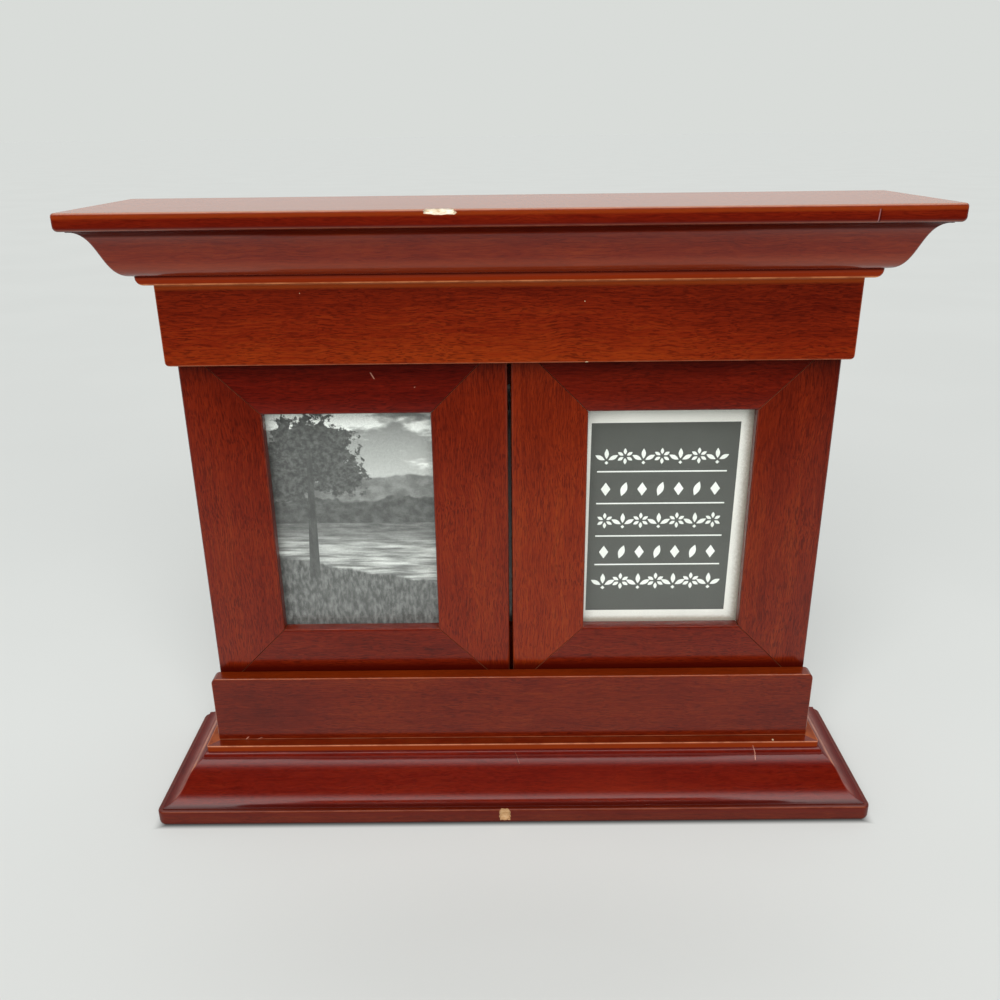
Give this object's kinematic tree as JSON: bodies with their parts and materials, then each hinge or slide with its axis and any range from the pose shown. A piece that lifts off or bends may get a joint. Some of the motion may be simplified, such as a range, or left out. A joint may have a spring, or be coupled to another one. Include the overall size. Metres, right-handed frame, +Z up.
{
  "type": "triple photo frame",
  "caption": "Mantel-shaped wooden photo frame: small glazed picture panels slide apart in front of a larger framed print, between a moulded base and a moulded cornice.",
  "frame": {"origin": "middle of the base's underside: centred on the width and on the depth of the whole frame", "axes": "+X to the right as seen from the front, +Y from the pictures towards the back, +Z up"},
  "size_m": [0.2634, 0.0638, 0.2182],
  "materials": {
    "case_wood": "reddish brown cherry stain under satin lacquer",
    "panel_wood": "dark red cherry stain under satin lacquer",
    "glass": "clear picture glass",
    "photo_print": "monochrome print, satin",
    "picture_card": "pale card with a dark printed field",
    "backing_board": "dark brown board",
    "plated_steel": "dull plated steel"
  },
  "bodies": {
    "case": {"base_board": "case_wood", "base_core": "case_wood", "base_moulding_front": "case_wood", "base_moulding_left": "case_wood", "base_moulding_right": "case_wood", "sill_block": "case_wood", "plinth_board": "case_wood", "frieze_board": "case_wood", "header_block": "case_wood", "cornice_core": "case_wood", "cornice_moulding_front": "case_wood", "cornice_moulding_left": "case_wood", "cornice_moulding_right": "case_wood", "top_board": "case_wood", "stop_pin_left": "plated_steel", "stop_pin_right": "plated_steel", "centre_left_stile": "panel_wood", "centre_right_stile": "panel_wood", "centre_bottom_rail": "panel_wood", "centre_top_rail": "panel_wood", "centre_glass": "glass", "centre_print": "photo_print", "centre_backing": "backing_board", "button_screw_top_left": "plated_steel", "button_screw_top_right": "plated_steel", "button_screw_bottom_left": "plated_steel", "button_screw_bottom_right": "plated_steel"},
    "left_panel": {"left_panel_bottom_rail": "panel_wood", "left_panel_top_rail": "panel_wood", "left_panel_inner_stile": "panel_wood", "left_panel_outer_stile": "panel_wood", "left_panel_glass": "glass", "left_print": "photo_print", "left_panel_backing": "backing_board", "left_panel_bottom_rail_point": "plated_steel", "left_panel_top_rail_point": "plated_steel", "left_panel_inner_stile_point": "plated_steel", "left_panel_outer_stile_point": "plated_steel"},
    "right_panel": {"right_panel_bottom_rail": "panel_wood", "right_panel_top_rail": "panel_wood", "right_panel_inner_stile": "panel_wood", "right_panel_outer_stile": "panel_wood", "right_panel_glass": "glass", "right_card": "picture_card", "right_panel_backing": "backing_board", "right_panel_bottom_rail_point": "plated_steel", "right_panel_top_rail_point": "plated_steel", "right_panel_inner_stile_point": "plated_steel", "right_panel_outer_stile_point": "plated_steel"},
    "button_top_left": {"turn_button_top_left": "plated_steel"},
    "button_top_right": {"turn_button_top_right": "plated_steel"},
    "button_bottom_left": {"turn_button_bottom_left": "plated_steel"},
    "button_bottom_right": {"turn_button_bottom_right": "plated_steel"}
  },
  "joints": [
    {"name": "left_panel_slide", "type": "slide", "parent": "case", "child": "left_panel", "axis": [-1, 0, 0], "range_m": [0, 0.0734]},
    {"name": "right_panel_slide", "type": "slide", "parent": "case", "child": "right_panel", "axis": [1, 0, 0], "range_m": [0, 0.0734]},
    {"name": "turn_button_top_left_pivot", "type": "hinge", "parent": "case", "child": "button_top_left", "pos_m": [-0.045, 0.0168, 0.16623], "axis": [0, 1, 0], "range_deg": [-90, 90]},
    {"name": "turn_button_top_right_pivot", "type": "hinge", "parent": "case", "child": "button_top_right", "pos_m": [0.045, 0.0168, 0.16623], "axis": [0, 1, 0], "range_deg": [-90, 90]},
    {"name": "turn_button_bottom_left_pivot", "type": "hinge", "parent": "case", "child": "button_bottom_left", "pos_m": [-0.045, 0.0168, 0.05212], "axis": [0, 1, 0], "range_deg": [-90, 90]},
    {"name": "turn_button_bottom_right_pivot", "type": "hinge", "parent": "case", "child": "button_bottom_right", "pos_m": [0.045, 0.0168, 0.05212], "axis": [0, 1, 0], "range_deg": [-90, 90]}
  ]
}
